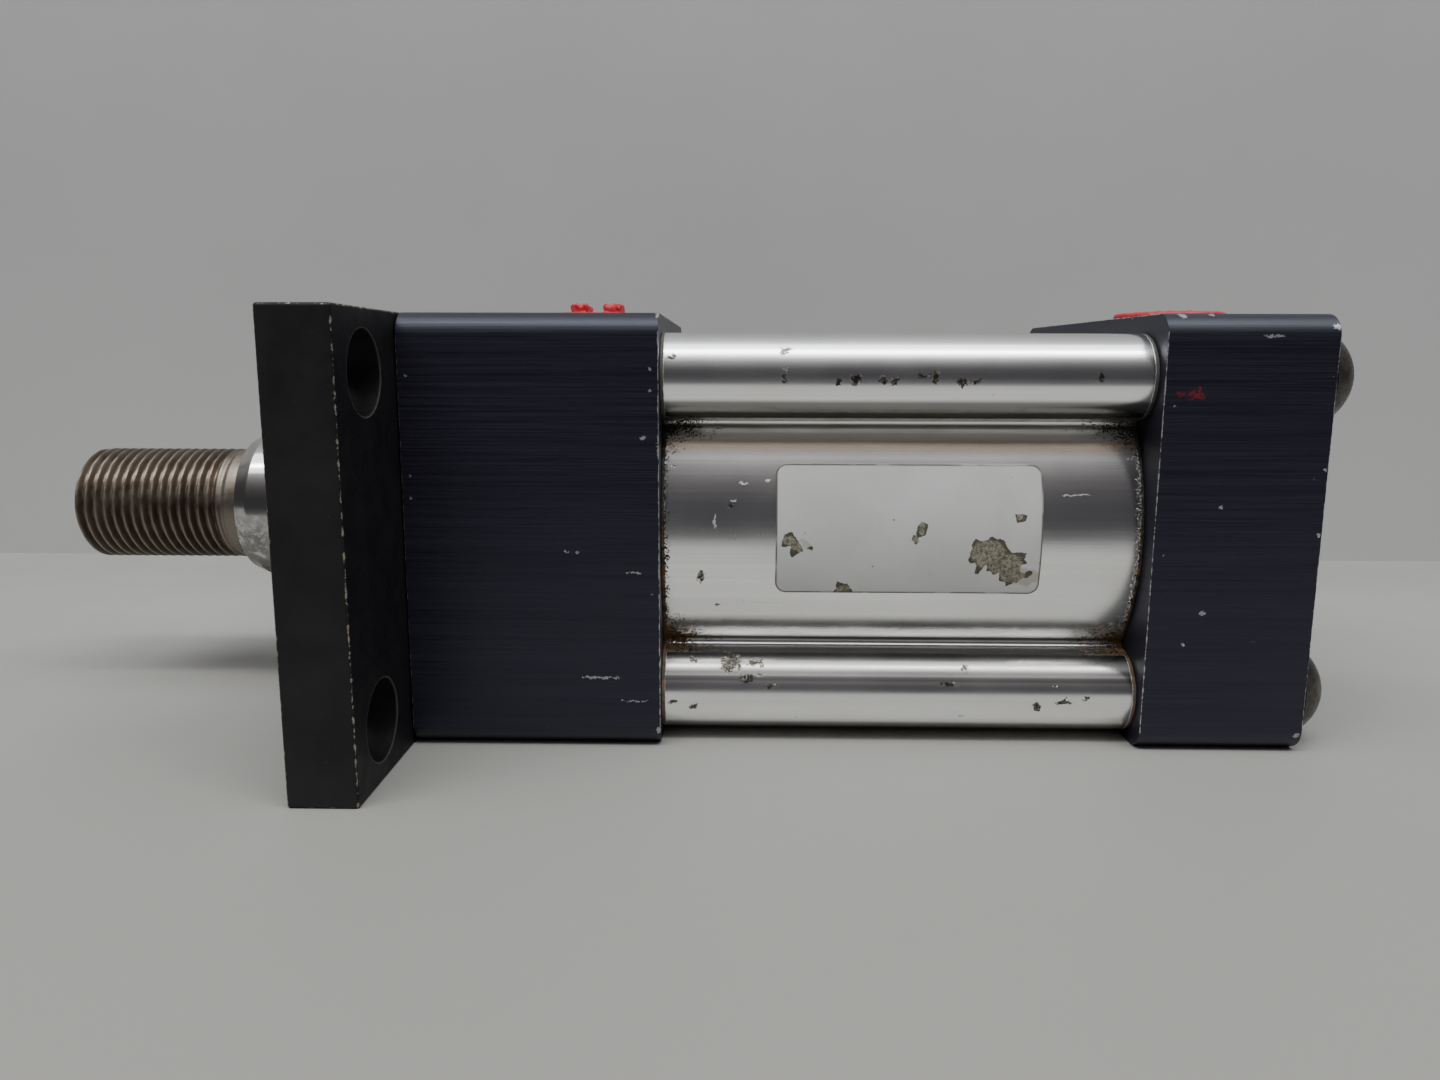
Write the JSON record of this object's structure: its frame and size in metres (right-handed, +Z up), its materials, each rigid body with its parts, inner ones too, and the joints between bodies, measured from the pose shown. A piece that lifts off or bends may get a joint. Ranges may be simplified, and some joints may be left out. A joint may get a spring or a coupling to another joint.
{
  "type": "pneumatic cylinder",
  "caption": "Short square-ended air cylinder with a front mounting flange, a threaded chromed rod, an extruded tube body and plugged top ports.",
  "frame": {"origin": "middle of the whole cylinder's box, on the plane that the flange, head and cap stand on, with the rod drawn in", "axes": "+X from the rod's threaded end towards the rear cap, +Y across the flange, +Z up towards the ports"},
  "size_m": [0.2, 0.1048, 0.0662],
  "materials": {
    "flange_steel": "black oxide on steel, satin, worn through to bare metal on edges",
    "end_block_anodised": "blue-black anodised aluminium, fine brushed lines, chipped edges",
    "body_anodised": "clear anodised extruded aluminium, satin to bright, scratched and stained",
    "rod_chrome": "ground and chromed rod, oily dark thread",
    "screw_steel": "black oxide on alloy steel, satin, oiled",
    "bushing_bronze": "turned bearing bronze",
    "piston_aluminium": "turned aluminium",
    "nut_steel": "plain zinc-plated steel",
    "seal_rubber": "moulded nitrile rubber, matt",
    "wear_ring_plastic": "filled bearing plastic, matt",
    "plug_plastic": "moulded red polyethylene, ragged",
    "plate_foil": "thin pale printed foil, blank, rubbed through in patches"
  },
  "bodies": {
    "barrel": {"mounting_flange": "flange_steel", "front_head": "end_block_anodised", "body_extrusion": "body_anodised", "rear_cap": "end_block_anodised", "front_screw_1": "screw_steel", "front_screw_2": "screw_steel", "front_screw_3": "screw_steel", "front_screw_4": "screw_steel", "rear_screw_1": "screw_steel", "rear_screw_2": "screw_steel", "rear_screw_3": "screw_steel", "rear_screw_4": "screw_steel", "rod_bushing": "bushing_bronze", "rod_wiper": "seal_rubber", "rod_seal": "seal_rubber", "bushing_o_ring": "seal_rubber", "front_tube_o_ring": "seal_rubber", "rear_tube_o_ring": "seal_rubber", "rating_plate": "plate_foil"},
    "piston_seals": {"piston_seal_front": "seal_rubber", "piston_wear_ring": "wear_ring_plastic", "piston_seal_rear": "seal_rubber"},
    "rod_assembly": {"piston_rod": "rod_chrome", "piston": "piston_aluminium", "piston_nut": "nut_steel", "piston_o_ring": "seal_rubber"},
    "front_plug": {"port_plug_front": "plug_plastic"},
    "rear_plug": {"port_plug_rear": "plug_plastic"}
  },
  "joints": [
    {"name": "rod_slide", "type": "slide", "parent": "barrel", "child": "piston_seals", "axis": [-1, 0, 0], "range_m": [0, 0.0381]},
    {"name": "rod_spin", "type": "hinge", "parent": "piston_seals", "child": "rod_assembly", "pos_m": [-0.03611, 0, 0.03175], "axis": [1, 0, 0], "continuous": true},
    {"name": "front_plug_pull", "type": "slide", "parent": "barrel", "child": "front_plug", "axis": [0, 0, 1], "range_m": [0, 0.02]},
    {"name": "rear_plug_pull", "type": "slide", "parent": "barrel", "child": "rear_plug", "axis": [0, 0, 1], "range_m": [0, 0.02]}
  ]
}
